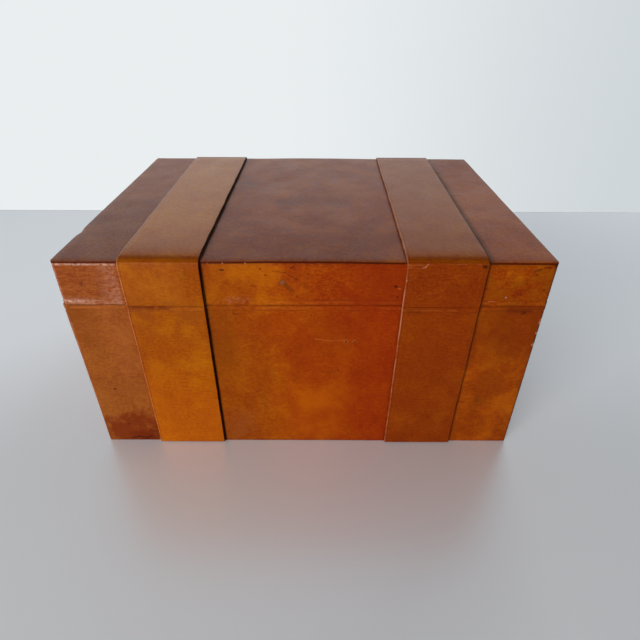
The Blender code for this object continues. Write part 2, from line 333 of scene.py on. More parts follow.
def wall_skin(name, low, high, rim, under):
    """The hide round four walls from low to high. rim is the end it rolls over, and under the width
    turned in at the other end, or 0 where it is cut off plain."""
    up = rim > low
    piece = add(name, "cube", (0, 0, (low + high) / 2), (WIDTH, DEPTH, high - low))
    way = 1 if up else -1
    pick("FACE", lambda face: face.normal.z * way > 0.9)
    bpy.ops.mesh.inset(thickness=RIM_LAP)
    bpy.ops.mesh.extrude_region_move(TRANSFORM_OT_translate={"value": (0, 0, -way * TURNED_IN)})
    bpy.ops.mesh.delete(type="FACE")
    pick("FACE", lambda face: face.normal.z * way < -0.9)
    if under:
        bpy.ops.mesh.inset(thickness=under)
    bpy.ops.mesh.delete(type="FACE")

    def corner(vert):
        return abs(vert.co.x) > WIDTH / 2 - 1e-5 and abs(vert.co.y) > DEPTH / 2 - 1e-5

    pick("EDGE", lambda edge: runs(edge, 2, 5 * MM) and corner(edge.verts[0]))
    bpy.ops.mesh.bevel(offset=CORNER_ROUND, segments=5, affect="EDGES")
    for axis in (0, 1, 2):
        divide(axis, 3.2 * MM)
    for inward in (0.5 * MM, 1.2 * MM, 1.9 * MM, ROLL, ROLL + 0.5 * MM):
        bpy.ops.mesh.select_all(action="SELECT")
        bpy.ops.mesh.bisect(plane_co=(0, 0, rim - way * inward), plane_no=(0, 0, 1))
    for side in ("left", "right"):
        clear_leaf(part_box(f"hinge_{side}_body_leaf"), rim - way * 1.35 * MM, way)
    leave(piece)
    nudge(piece, lambda co: rolled(co, abs(co.z - rim)))
    for way in ("X", "Y"):
        modify(piece, "DISPLACE", texture=unevenness(28 * MM), direction=way, strength=0.22 * MM, mid_level=0.5)
    modify(piece, "SOLIDIFY", thickness=HIDE, offset=-1, use_even_offset=True)
    modify(piece, "BEVEL", width=RIM_ROUND, segments=3, limit_method="ANGLE", angle_limit=math.radians(55))
    return piece


def rolled(co, down):
    """The pressed roll just inside the rim: the skin swells over the rim and dips at a crease."""
    if abs(co.x) < WIDTH / 2 - CORNER_ROUND and abs(co.y) < DEPTH / 2 - CORNER_ROUND:
        return (0, 0, 0)
    swell = 0.09 * MM * smooth(0, 0.8 * MM, down) * smooth(ROLL, 1.5 * MM, down)
    dip = 0.10 * MM * max(0, 1 - abs(down - ROLL) / (0.55 * MM))
    out = swell - dip
    return (out * math.copysign(abs(co.x) > WIDTH / 2 - CORNER_ROUND, co.x),
            out * math.copysign(abs(co.y) > DEPTH / 2 - CORNER_ROUND, co.y), 0)


body_skin = wall_skin("body_side_skin", 0, BODY_TOP, BODY_TOP, UNDER_LAP)


def stretched_wall(co):
    """The left wall swells a little towards the rim, where the skin laps over itself."""
    left = smooth(-97 * MM, -99.5 * MM, co.x)
    return (-0.6 * MM * left * smooth(0, 78 * MM, co.z) ** 2, 0, 0)


nudge(body_skin, stretched_wall)


class Hide(Finish):
    """Pebbled, waxed hide, with its broad shades, clouds, pores and the wear of its edges."""

    def __init__(self, name):
        super().__init__(name)
        self.worked = 1.0
        self.broad = self.clouds(60 * MM, 2, 0.5).rise(0.36, 0.64)
        self.cloud = self.clouds(14 * MM, 3, 0.5, shift=3).rise(0.34, 0.66)
        self.mottle = self.clouds(4.5 * MM, 3, 0.55, shift=7).rise(0.34, 0.66)
        self.fine = self.clouds(1, 2, 0.6, self.stretched((1.6 * MM, 0.9 * MM, 0.9 * MM)), 11).rise(0.36, 0.64)
        self.ragged = self.clouds(1.6 * MM, 3, 0.6, shift=15).rise(0.3, 0.7)
        cells = {"Vector": self.place, "Scale": 1 / (0.9 * MM)}
        self.pores = self.node("ShaderNodeTexVoronoi", {"feature": "F1"}, cells, out="Distance").rise(0.42, 0.2)
        self.crease = self.node("ShaderNodeTexVoronoi", {"feature": "DISTANCE_TO_EDGE"}, cells,
                                out="Distance").rise(0.16, 0.0)
        self.open_grain = self.clouds(13 * MM, 3, 0.6, shift=27).rise(0.42, 0.66)
        hatch = self.clouds(1, 2, 0.5, self.stretched((4 * MM, 0.6 * MM, 0.5 * MM)), shift=19)
        self.hatch = hatch.rise(0.4, 0.6) * self.clouds(14 * MM, 2, 0.5, shift=23).rise(0.40, 0.62)
        self.smudge = self.clouds(1, 3, 0.6, self.stretched((7 * MM, 7 * MM, 24 * MM)), shift=31).rise(0.5, 0.74)

    def ground(self, deep, warm, bright):
        """The three shades of the hide, laid over each other in clouds."""
        colour = self.mixed(deep, warm, 0.5 * self.broad + 0.5 * self.cloud)
        self.colour = self.mixed(colour, bright, (0.55 * self.cloud + 0.45 * self.mottle).rise(0.45, 0.9) * 0.55)

    def stain(self, colour, share):
        """Lays a colour over the hide where share is above 0."""
        self.colour = self.mixed(self.colour, colour, share)

    def spot(self, x, y, z, reach, colour, strength=0.8, firm=0.3):
        """A small ragged mark round a place, in millimetres."""
        away = self.node("ShaderNodeVectorMath", {"operation": "DISTANCE"},
                         {0: self.place, 1: (x * MM, y * MM, z * MM)}, out="Value")
        rough = self.ragged if reach < 4 else 0.6 * self.mottle + 0.4 * self.cloud
        away = away + (rough - 0.5) * (0.8 * reach * MM)
        self.stain(colour, strength * away.rise(reach * MM, firm * reach * MM))

    def scratch(self, start, end, width, colour, strength=0.6):
        """A thin ragged line on the front between two places (x, z), in millimetres."""
        run, climb = (end[0] - start[0]) * MM, (end[1] - start[1]) * MM
        across, up = self.x - start[0] * MM, self.z - start[1] * MM
        share = ((across * run + up * climb) / (run * run + climb * climb)).most(0).least(1)
        across, up = across - share * run, up - share * climb
        away = (across * across + up * up) ** 0.5 + (self.ragged - 0.5) * (0.5 * width * MM)
        self.stain(colour, strength * self.y.rise(-73 * MM, -74 * MM) * away.rise(width * MM, 0.2 * width * MM))

    def field(self, x, z, soft):
        """1 inside a soft-edged field of the front, all in millimetres, x and z being its spans."""
        inside = self.y.rise(-73 * MM, -74 * MM)
        for place, (low, high) in ((self.x, x), (self.z, z)):
            inside = inside * place.rise((low - soft) * MM, (low + soft) * MM)
            inside = inside * place.rise((high + soft) * MM, (high - soft) * MM)
        return inside

    def grain(self, strength=1.0):
        """Darkens the pores and creases and lets the tone vary. A darker place is also a redder one."""
        tone = 0.10 * (self.cloud - 0.5) + 0.12 * (self.mottle - 0.5) + 0.30 * (self.fine - 0.5) \
            - 0.40 * self.pores * (0.15 + 0.85 * self.open_grain) - 0.10 * self.crease \
            + 0.26 * (self.hatch - 0.25)
        by_channel = self.dimmed((0.5, 1.0, 1.0), strength * tone + 0.05)
        self.colour = self.node("ShaderNodeVectorMath", {"operation": "MULTIPLY_ADD"},
                                {0: self.colour, 1: by_channel, 2: self.colour})

    def hide(self, gloss, rough, values=None):
        """Ends the finish with its relief and its wax."""
        height = 0.5 * (1 - self.crease) + 0.3 * self.fine + 0.2 * self.hatch
        relief = self.bumps(height * self.worked, 0.05 * MM)
        relief = self.bumps(self.mottle, 0.08 * MM, relief)
        wax = rough + 0.12 * (self.mottle - 0.5) - 0.08 * (self.cloud - 0.5) + 0.06 * self.pores
        return self.shade({"Base Color": self.colour, "Roughness": wax, "Normal": relief,
                           "Specular IOR Level": gloss, **(values or {})})


DEEP = (0.262, 0.038, 0.0)
WARM = (0.292, 0.053, 0.0)
BRIGHT = (0.325, 0.072, 0.0)
OLIVE = (0.165, 0.034, 0.0)
RED = (0.225, 0.017, 0.0)
NEARLY_BLACK = (0.009, 0.002, 0.001)
PALE_FIBRE = (0.60, 0.28, 0.18)
DARK_RED = (0.085, 0.010, 0.001)
# A pale pink for painted sheen.
PINK_SHEEN = (0.42, 0.20, 0.13)


STRAP_WIDTH = 32 * MM
STRAPS = {"left": (-73.3 * MM, -0.0014), "right": (38.7 * MM, 0.0155)}


def strap_place(hide, side, run):
    """How far right of a strap's left edge a place lies, run being its distance along the strap."""
    left, drift = STRAPS[side]
    return hide.x - left - drift * run


def side_hide(name, seam, other_end, grain):
    """The finish of a wall skin. seam is the height of the rim that it rolls over."""
    hide = Hide(name)
    hide.ground(DEEP, WARM, BRIGHT)
    hide.stain(OLIVE, 0.45 * hide.smudge)
    front = hide.y.rise(-72 * MM, -74 * MM)
    left_end = hide.x.rise(-70 * MM, -76 * MM)
    hide.stain((0.208, 0.043, 0.0), 0.5 * front * hide.x.rise(-6 * MM, -36 * MM))
    hide.stain(RED, 0.8 * front * hide.x.rise(-24 * MM, 34 * MM) * hide.x.rise(66 * MM, 50 * MM))
    hide.stain((0.225, 0.064, 0.010), 0.7 * front * left_end)
    hide.stain((0.18, 0.028, 0.0), 0.4 * front * hide.x.rise(66 * MM, 72 * MM) * hide.cloud.rise(0.75, 0.3))
    # A thin dark red line along each strap's left edge, and beside its right edge a near-black painted shadow of the
    # strap.
    for side in ("left", "right"):
        from_left = strap_place(hide, side, hide.z)
        hide.stain(DARK_RED, 0.55 * from_left.near(-0.35 * MM, 0.6 * MM) * hide.mottle.rise(0.0, 0.5))
        from_right = from_left - STRAP_WIDTH
        strap_shadow_reach = 1.0 * MM if side == "left" else 0.85 * MM
        hide.stain(NEARLY_BLACK, 0.85 * from_right.rise(strap_shadow_reach, strap_shadow_reach - 0.5 * MM) * from_right.rise(-2 * MM, -1 * MM))
    hide.grain(grain * (1 + (grain - 1) * front * left_end))
    corner = (abs(hide.x).rise(98 * MM, 99.4 * MM) * abs(hide.y).rise(73 * MM, 74.4 * MM))
    hide.stain(DARK_RED, 0.6 * corner * hide.mottle.rise(0.35, 0.7))
    # Painted shade in the groove at the rim and in the crease below it, painted highlight on the roll between them,
    # and painted shade in the seam at the front-left corner.
    from_rim = abs(hide.z - seam)
    hide.stain(DARK_RED, 0.45 * from_rim.rise(0.7 * MM, 0.2 * MM) * hide.mottle.rise(0.1, 0.6))
    hide.stain(DARK_RED, 0.4 * from_rim.near(ROLL, 0.5 * MM) * hide.mottle.rise(0.2, 0.8))
    hide.stain((0.36, 0.07, 0.01), 0.3 * from_rim.near(1.4 * MM, 0.8 * MM) * hide.mottle.rise(0.2, 0.8))
    at_front_left = hide.y.rise(-73 * MM, -74.6 * MM) * hide.x.rise(-98.6 * MM, -99.5 * MM)
    hide.stain(NEARLY_BLACK, 0.85 * at_front_left * hide.z.near(80.2 * MM, 1.5 * MM))
    hide.stain(DARK_RED, 0.45 * hide.z.near(other_end, 1.2 * MM) * hide.ragged.rise(0.2, 0.8))
    return hide


body_hide = side_hide("body_side_hide", BODY_TOP, 0, 1.0)
# Painted highlight along the front-left corner of the body.
body_hide.stain((0.40, 0.17, 0.09), 0.5 * body_hide.x.rise(-98.7 * MM, -99.7 * MM)
                * body_hide.y.rise(-73 * MM, -74.5 * MM))
body_hide.stain((0.22, 0.030, 0.0), 0.35 * body_hide.field((-10, 20), (50, 76), 10) * (0.3 + 0.7 * body_hide.cloud))
body_hide.stain((0.37, 0.072, 0.0), 0.75 * body_hide.field((-8, 18), (0, 36), 12) * (0.3 + 0.7 * body_hide.cloud))
body_hide.stain((0.14, 0.019, 0.0), 0.7 * body_hide.field((72, 110), (52, 96), 14) * body_hide.cloud.rise(-0.6, 0.8))
body_hide.stain((0.33, 0.070, 0.0), 0.45 * body_hide.field((72, 112), (-12, 26), 12) * body_hide.mottle)
body_hide.stain((0.16, 0.033, 0.0), 0.5 * body_hide.field((-44, -31), (44, 84), 6) * body_hide.mottle.rise(-0.2, 0.8))
body_hide.stain((0.0, 0.0, 0.0), 0.06 * body_hide.field((-44, -12), (-10, 62), 8))
body_hide.stain((0.23, 0.055, 0.010), 0.5 * body_hide.field((-39, -26), (1, 20), 5) * body_hide.mottle.rise(0.0, 0.8))
body_hide.stain((0.165, 0.038, 0.002), 0.6 * body_hide.field((-104, -90), (58, 88), 6) * body_hide.mottle.rise(-0.2, 0.8))
body_hide.stain((0.37, 0.100, 0.030), 0.22 * body_hide.field((-84, -70), (36, 84), 6) * body_hide.cloud)
body_hide.stain(DARK_RED, 0.5 * body_hide.field((84, 104), (76.6, 79.2), 1) * body_hide.mottle.rise(-0.3, 0.7))
# Painted highlight on the rim roll at the left of the front.
body_hide.stain((0.42, 0.115, 0.022), 0.45 * body_hide.field((-97.5, -80), (78.2, 79.2), 0.6) * body_hide.mottle.rise(-0.3, 0.7))
body_hide.spot(-85, -75, 6, 20, (0.13, 0.012, 0.0), 0.72, 0.25)
body_hide.spot(-77, -75, 3, 10, (0.10, 0.008, 0.0), 0.6, 0.1)
body_hide.spot(-80, -75, 15, 14, (0.14, 0.016, 0.0), 0.6, 0.05)
for start, end in (((-88, 1.2), (-84.5, 2.4)), ((-84.5, 2.4), (-81, 1.4)), ((-81, 1.4), (-77.6, 2.8))):
    body_hide.scratch(start, end, 0.8, (0.045, 0.003, 0.0), 0.7)
body_hide.spot(-89.4, -75, 33.8, 0.7, NEARLY_BLACK)
body_hide.spot(-87.8, -75, 11, 0.7, NEARLY_BLACK)
for x in (17.4, 21.3):
    body_hide.spot(x, -75, 61.7, 1.1, (0.42, 0.11, 0.03), 0.6)
    body_hide.spot(x, -75, 61.5, 0.6, NEARLY_BLACK, 0.95)
body_hide.scratch((3.9, 62.9), (11, 61.9), 0.35, (0.38, 0.085, 0.01), 0.6)
body_hide.scratch((11, 61.9), (16.6, 62.3), 0.3, (0.38, 0.085, 0.01), 0.5)
body_hide.scratch((5, 72.4), (9, 71.5), 0.35, DARK_RED, 0.35)
body_hide.spot(14.3, -75, 45.7, 0.6, NEARLY_BLACK, 0.5)
body_hide.spot(91.1, -75, 76.6, 1.3, NEARLY_BLACK, 0.55)
body_hide.spot(2.3, -75, 75.3, 0.7, NEARLY_BLACK, 0.5)
body_hide.scratch((-30.2, 75.8), (-28.2, 75.4), 0.6, DARK_RED, 0.6)
body_hide.stain(NEARLY_BLACK, 0.7 * body_hide.x.rise(99 * MM, 99.8 * MM) * body_hide.y.rise(-73 * MM, -74 * MM))
body_hide.stain((0.13, 0.030, 0.0), 0.7 * body_hide.field((79, 88), (22, 50), 5) * body_hide.smudge.rise(-0.3, 0.7))
for z in (73.2, 71.4, 66.5, 60.4):
    body_hide.spot(99.3, -74.6, z, 1.1, (0.50, 0.24, 0.14), 0.85)
fit(body_skin, body_hide.hide(0.05, 0.5), "body", "leather", "body_side_leather")


# Felt under the body.
# A pressed wool felt, cut to lie inside the turned-in edge of the side leather and glued to the
# base board, so that the box stands softly on a table.

def soft_panel(name, node, material, body, slot, round_edge, swell, grow=0.0):
    """A thin panel in the place of a node, with soft edges and a slightly uneven face."""
    low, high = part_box(node)
    size = high - low
    thin = min(range(3), key=lambda axis: size[axis])
    piece = add(name, "cube", (low + high) / 2, size)
    pick("EDGE", lambda edge: True)
    bpy.ops.mesh.bevel(offset=round_edge, segments=3, affect="EDGES")
    for axis in range(3):
        if axis != thin:
            divide(axis, 3 * MM, 3 * MM)
    leave(piece)
    modify(piece, "DISPLACE", texture=unevenness(16 * MM), strength=swell, mid_level=0.5)
    fit(piece, material, body, slot, node)
    return piece


felt = Finish("pressed_felt")
felt_fibres = felt.clouds(0.5 * MM, 5, 0.75)
felt_patches = felt.clouds(12 * MM, 3, 0.6)
felt_colour = felt.mixed((0.018, 0.015, 0.012), (0.060, 0.050, 0.040), felt_fibres.rise(0.3, 0.7))
felt_colour = felt.dimmed(felt_colour, 0.75 + 0.5 * felt_patches)
pressed_felt = felt.shade({"Base Color": felt_colour, "Roughness": 0.96 - 0.1 * felt_fibres,
                           "Normal": felt.bumps(felt_fibres, 0.18 * MM), "Specular IOR Level": 0.1})
soft_panel("underside_felt_pad", "underside_felt", pressed_felt, "body", "felt", 0.35 * MM, 0.08 * MM)


# Lining of the body and the lid.
# Panels of thin card covered with suede, the edges turned over, glued to the floor, the walls
# and the inside of the lid. They stop short of the leather that is turned in over each rim.

suede = Finish("suede_lining")
nap = suede.clouds(0.35 * MM, 4, 0.7)
strokes = suede.clouds(1, 3, 0.6, suede.stretched((9 * MM, 22 * MM, 22 * MM)), shift=5)
worn = suede.clouds(30 * MM, 3, 0.6, shift=9)
suede_colour = suede.mixed((0.130, 0.070, 0.037), (0.215, 0.124, 0.068), strokes.rise(0.22, 0.78))
suede_colour = suede.dimmed(suede_colour, 0.72 + 0.3 * nap + 0.26 * worn)
suede_lining = suede.shade({"Base Color": suede_colour, "Roughness": 0.97 - 0.12 * strokes,
                            "Normal": suede.bumps(nap * 0.7 + strokes * 0.3, 0.09 * MM),
                            "Specular IOR Level": 0.15, "Sheen Weight": 0.35, "Sheen Roughness": 0.5,
                            "Sheen Tint": (0.9, 0.75, 0.6, 1)})
for part in ("floor", "front", "back", "left", "right"):
    soft_panel(f"body_lining_{part}", f"liner_{part}", suede_lining, "body", "suede", 0.6 * MM, 0.1 * MM)
for part in ("top", "front", "back", "left", "right"):
    soft_panel(f"lid_lining_{part}", f"lid_liner_{part}", suede_lining, "lid", "suede", 0.6 * MM, 0.1 * MM)


# Straps of the body, two at the front and two at the back.
# Each is a flat strip of thicker hide, cut by hand, glued over the side leather from the rim
# down to the foot. Its edges are burnished; the pale on the left edges is partly painted highlight, and the
# near-black on the right edges is painted shade.

STRAP_PROUD = 1.5 * MM
FOOT, LID_FOOT = 0.3 * MM, 80.06 * MM
FACE = DEPTH / 2 + 0.1 * MM


def along(y, z):
    """How far a place on a strap lies from the foot of the front, along the strap."""
    if z > 99.5 * MM and abs(y) < FACE - 0.5 * MM:
        return 0.1 + y + DEPTH / 2
    return z if y < 0 else 0.35 - z


def cut_strap(piece, side):
    """Gives a straight strap its lean, its thickness, its rounded edges and a hand-cut line, and notes
    for its finish how far each point is across it."""
    left, drift = STRAPS[side]
    modify(piece, "SOLIDIFY", thickness=STRAP_PROUD - 0.1 * MM, offset=1)
    modify(piece, "BEVEL", width=0.28 * MM, segments=3, limit_method="ANGLE", angle_limit=math.radians(50))
    across = piece.data.attributes.new("across", "FLOAT", "POINT")
    for vert in piece.data.vertices:
        across.data[vert.index].value = (vert.co.x - left - STRAP_WIDTH / 2) / (STRAP_WIDTH / 2)
    nudge(piece, lambda co: (drift * along(co.y, co.z), 0, 0))
    modify(piece, "DISPLACE", texture=unevenness(14 * MM), direction="X", strength=0.5 * MM, mid_level=0.5)


def wall_strap(name, side, front, node):
    left = STRAPS[side][0]
    high = BODY_TOP
    piece = add(name, "grid", (left + STRAP_WIDTH / 2, -FACE if front else FACE, (FOOT + high) / 2),
                (STRAP_WIDTH, high - FOOT, 1), (math.radians(90 if front else -90), 0, 0),
                x_subdivisions=12, y_subdivisions=30)
    leave(piece)
    cut_strap(piece, side)
    fit(piece, strap_hide, "body", "strap_leather", node)


straps = Hide("strap_hide")
across = straps.node("ShaderNodeAttribute", {"attribute_name": "across"}, out="Fac")
straps.ground((0.245, 0.047, 0.0), (0.278, 0.063, 0.0), (0.308, 0.082, 0.0))
straps.stain(OLIVE, 0.4 * straps.smudge)
straps.stain((0.385, 0.082, 0.0), 0.72 * straps.z.rise(72 * MM, 5 * MM) * straps.x.rise(0, -20 * MM))
straps.stain((0.185, 0.021, 0.0), 0.75 * straps.x.rise(0, 30 * MM))
on_top = straps.z.rise(100.9 * MM, 101.3 * MM) * abs(straps.y).rise(75 * MM, 71 * MM)
straps.stain((0.40, 0.125, 0.006), on_top * (0.85 - 0.45 * straps.x.rise(0, 30 * MM)))
straps.stain((0.26, 0.055, 0.0), 0.6 * on_top * straps.y.rise(-40 * MM, -70 * MM))
# Painted shade where the strap bends over the edge of the lid.
bend = straps.z.rise(99.7 * MM, 100.6 * MM) * abs(straps.y).rise(71 * MM, 74 * MM)
straps.stain((0.20, 0.043, 0.0), 0.75 * bend * straps.mottle.rise(-0.5, 0.6))
straps.worked = 1 + 0.7 * straps.field((39, 71), (84, 99), 3)
straps.grain(0.4 + 0.5 * straps.worked + 0.25 * on_top)
# Pale left edges of the straps: the raw edge's own colour, partly painted highlight.
straps.stain((0.47, 0.19, 0.10), (0.5 + 0.2 * straps.z.rise(20 * MM, 90 * MM)) * across.rise(-0.97, -0.995)
             * straps.mottle.rise(-0.2, 0.6) * straps.ragged.rise(-0.5, 0.5))
straps.stain(DARK_RED, 0.45 * across.near(-0.95, 0.025))
# Painted shade: the right edges of the straps, near-black.
shaded_right_edge = across.rise(0.977, 0.994)
straps.stain(NEARLY_BLACK, 0.94 * shaded_right_edge)
# Painted shade in the seam between lid and body and in the crease below it, with a darker band on the left strap.
seam_line = straps.z.near(80 * MM, 0.35 * MM) + 0.6 * straps.z.near(77.6 * MM, 0.4 * MM)
straps.stain(DARK_RED, 0.5 * seam_line * straps.mottle.rise(0.0, 0.7))
straps.stain((0.12, 0.013, 0.0), 0.95 * straps.field((-73, -56), (78.3, 80.4), 0.8) * straps.mottle.rise(-0.3, 0.7))
straps.stain((0.20, 0.045, 0.004), 0.45 * straps.field((-72, -44), (68, 82), 6) * straps.cloud.rise(0.9, 0.1))
straps.stain((0.38, 0.125, 0.012), 0.2 * straps.field((-76, -50), (82, 98), 4) * straps.mottle.rise(-0.6, 0.8))
straps.stain((0.17, 0.035, 0.0), 0.5 * straps.field((-52, -41), (90, 102), 3) * straps.cloud.rise(0.0, 0.8))
# Painted highlight on the roll between the seam and the crease.
straps.stain((0.40, 0.11, 0.02), 0.2 * straps.z.near(78.6 * MM, 0.7 * MM) * straps.mottle.rise(0.2, 0.8))
# Painted highlight along the front edge of the strap's bend.
straps.stain((0.42, 0.15, 0.05), 0.2 * straps.z.near(99.6 * MM, 0.4 * MM) * straps.ragged.rise(0.2, 0.8)
             * abs(straps.y).rise(75 * MM, 76 * MM))
straps.stain((0.45, 0.15, 0.04), 0.35 * straps.field((40, 47), (98, 99.6), 0.6) * straps.hatch)
straps.stain((0.085, 0.012, 0.0), 0.5 * straps.field((41, 48), (77, 79.4), 1) * straps.ragged)
straps.spot(70.6, -76.5, 99, 1.3, NEARLY_BLACK, 0.75)
straps.scratch((46, 98.2), (47.2, 98.5), 0.3, PALE_FIBRE, 0.35)
straps.scratch((47.2, 98.5), (48.2, 99.6), 0.3, PALE_FIBRE, 0.35)
straps.spot(39.5, -76.5, 92.4, 1.1, (0.40, 0.24, 0.17), 0.7)
straps.spot(-60.5, -58.2, 101.5, 0.9, NEARLY_BLACK, 0.45)
polished = straps.z.rise(100.6 * MM, 101.2 * MM) * abs(straps.y).rise(74 * MM, 70 * MM) * (1 - shaded_right_edge)
polished = polished * (0.62 - 0.08 * straps.x.rise(0, 30 * MM))
strap_hide = straps.hide(0.05, 0.5, {"Coat Weight": polished, "Coat Roughness": 0.24})

wall_strap("body_front_strap_left", "left", True, "body_strap_front_left")
wall_strap("body_front_strap_right", "right", True, "body_strap_front_right")
wall_strap("body_back_strap_left", "left", False, "body_strap_back_left")
wall_strap("body_back_strap_right", "right", False, "body_strap_back_right")


# Hinges.
# Two small butt hinges of rolled brass sheet with turned pins, let into the rims between the
# straps at the back and held by slotted brass screws. The brass has gone dull and brown in use.

def aged_brass(name, clean, tarnish, amount):
    brass = Finish(name)
    patches = brass.clouds(3.5 * MM, 4, 0.6)
    rub_and_sheen = brass.clouds(1, 3, 0.6, brass.stretched((6 * MM, 0.25 * MM, 0.25 * MM)))
    dirt = brass.clouds(0.6 * MM, 4, 0.7, shift=5)
    dull = (patches * 0.7 + dirt * 0.3).rise(0.62 - amount, 0.78 - amount)
    colour = brass.mixed(clean, tarnish, dull)
    colour = brass.dimmed(colour, 0.86 + 0.28 * rub_and_sheen)
    return brass.shade({"Base Color": colour, "Metallic": 1 - 0.25 * dull,
                        "Roughness": 0.27 + 0.2 * dull + 0.12 * rub_and_sheen,
                        "Normal": brass.bumps(rub_and_sheen * 0.6 + dirt * 0.4, 0.012 * MM)})


def finer(node, material, body, slot):
    """A smoothed copy of a CAD node's mesh that stands for it."""
    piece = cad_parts[node].copy()
    piece.data = piece.data.copy()
    piece.parent = None
    for key in list(piece.keys()):
        del piece[key]
    piece.name = piece.data.name = f"{node}_brass"
    bpy.context.scene.collection.objects.link(piece)
    bpy.ops.object.select_all(action="DESELECT")
    piece.select_set(True)
    bpy.context.view_layer.objects.active = piece
    bpy.ops.object.mode_set(mode="EDIT")
    bpy.ops.mesh.select_all(action="SELECT")
    bpy.ops.mesh.remove_doubles(threshold=1e-6)
    bpy.ops.object.mode_set(mode="OBJECT")
    fit(piece, material, body, slot, node)


leaf_brass = aged_brass("leaf_brass", (0.60, 0.40, 0.15), (0.16, 0.085, 0.03), 0.12)
screw_brass = aged_brass("screw_brass", (0.66, 0.45, 0.19), (0.20, 0.11, 0.04), 0.04)
for side in ("left", "right"):
    for body in ("body", "lid"):
        finer(f"hinge_{side}_{body}_leaf", leaf_brass, body, "brass")
        finer(f"hinge_{side}_{body}_screw_1", screw_brass, body, "screw_brass")
        finer(f"hinge_{side}_{body}_screw_2", screw_brass, body, "screw_brass")
    finer(f"hinge_{side}_pin", screw_brass, "body", "screw_brass")


# Side leather of the lid.
# The same hide as the body's, pasted round the four low walls of the lid. It rolls over the
# lower rim into the lid, and at the top it is cut off flush under the top leather.

LID_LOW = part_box("lid_side_leather")[0].z - 0.14 * MM
LID_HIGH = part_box("lid_side_leather")[1].z + 0.5 * MM
CROWN = 0.28 * MM
lid_skin = wall_skin("lid_side_skin", LID_LOW, LID_HIGH, LID_LOW, 0)
lid_hide = side_hide("lid_side_hide", LID_LOW, LID_HIGH, 1.45)
lid_front_left = lid_hide.y.rise(-73 * MM, -74.5 * MM) * lid_hide.x.rise(-74 * MM, -76 * MM)
# The front of the lid's left end: painted sheen along its borders, broken into streaks, with painted highlight lines.
rub_and_sheen = lid_hide.x.rise(-98.2 * MM, -99.4 * MM).most(0.8 * lid_hide.x.rise(-86 * MM, -75.5 * MM)).most(
    lid_hide.z.rise(84.5 * MM, 81 * MM) * (0.65 + 0.35 * lid_hide.x.rise(-82 * MM, -98 * MM))).most(
    lid_hide.z.near(98.5 * MM, 0.8 * MM))
sheen_breakup = 0.05 + 0.55 * lid_hide.ragged + 0.6 * lid_hide.hatch + 0.4 * (lid_hide.fine - 0.5)
lid_hide.stain((0.40, 0.105, 0.0), 0.36 * lid_hide.field((-54, -6), (70, 110), 16) * lid_hide.cloud.rise(-0.3, 1.0))
lid_hide.stain((0.23, 0.065, 0.0), 0.4 * lid_hide.field((74, 104), (76, 104), 4) * lid_hide.mottle)
lid_hide.stain((0.19, 0.018, 0.0), 0.5 * lid_hide.y.rise(-73 * MM, -74.5 * MM) * lid_hide.x.rise(2 * MM, 32 * MM)
               * lid_hide.x.rise(66 * MM, 50 * MM))
lid_hide.stain((0.31, 0.078, 0.016), 0.5 * lid_front_left)
lid_hide.stain(DARK_RED, 0.5 * lid_front_left * lid_hide.hatch * lid_hide.ragged)
wrinkles = lid_hide.clouds(1, 2, 0.5, lid_hide.stretched((7 * MM, 1.5 * MM, 1.4 * MM)), 41)
lid_hide.stain((0.15, 0.020, 0.002), 0.5 * lid_front_left * abs(wrinkles - 0.5).rise(0.07, 0.0))
lid_hide.worked = 1 + 2.4 * lid_front_left
# Painted sheen on the borders of the left end.
lid_hide.stain(PINK_SHEEN, 0.82 * lid_front_left * rub_and_sheen * sheen_breakup)
lid_hide.stain((0.30, 0.16, 0.12), 0.4 * lid_hide.field((-32.5, -23), (81.3, 83.8), 1.2) * lid_hide.ragged * lid_hide.fine)
highlight = lid_hide.z.near(98.5 * MM, 0.7 * MM).most(lid_hide.z.near(81.7 * MM, 1.2 * MM) * lid_hide.x.rise(-86 * MM, -93 * MM))
lid_hide.stain((0.60, 0.42, 0.36), 0.42 * lid_front_left * highlight * lid_hide.ragged.rise(0.1, 0.8))
lid_hide.stain((0.045, 0.004, 0.001), 0.8 * lid_front_left * lid_hide.z.rise(99.0 * MM, 99.4 * MM))
lid_hide.spot(-90.1, -75, 89.7, 1.2, DARK_RED, 0.5)
lid_hide.scratch((-33.5, 96.4), (-32.3, 96.2), 0.6, NEARLY_BLACK, 0.75)
lid_hide.spot(-17.7, -75, 96.8, 0.7, DARK_RED, 0.7)
lid_hide.spot(-15.7, -75, 94.1, 0.7, NEARLY_BLACK, 0.6)
lid_hide.scratch((-5.4, 97.3), (-4.3, 98), 0.5, NEARLY_BLACK, 0.55)
lid_hide.scratch((-13, 95.9), (-8, 95.2), 0.35, DARK_RED, 0.5)
lid_hide.scratch((-8, 95.2), (-2.8, 91.9), 0.4, DARK_RED, 0.5)
lid_hide.spot(-9.1, -75, 90.7, 2.2, (0.13, 0.030, 0.0), 0.75)
lid_hide.spot(-9.1, -75, 90.7, 1.4, (0.20, 0.075, 0.040), 0.75)
lid_hide.scratch((-8, 89.6), (-5.6, 87), 1.5, (0.13, 0.028, 0.0), 0.7)
lid_hide.spot(-3.4, -75, 84.5, 0.7, NEARLY_BLACK, 0.45)
lid_hide.spot(36.7, -75, 89.1, 0.9, NEARLY_BLACK, 0.75)
lid_hide.scratch((37.6, 88.2), (38.8, 87.7), 0.4, (0.42, 0.09, 0.01), 0.7)
lid_hide.spot(37.8, -75, 84.2, 0.8, NEARLY_BLACK, 0.55)
lid_hide.spot(36.2, -75, 84.7, 0.5, NEARLY_BLACK, 0.5)
lid_hide.scratch((94.8, 97.7), (96.9, 97.8), 0.9, (0.12, 0.006, 0.0), 0.8)
lid_hide.scratch((91.2, 96.1), (93.4, 97), 0.7, NEARLY_BLACK, 0.45)
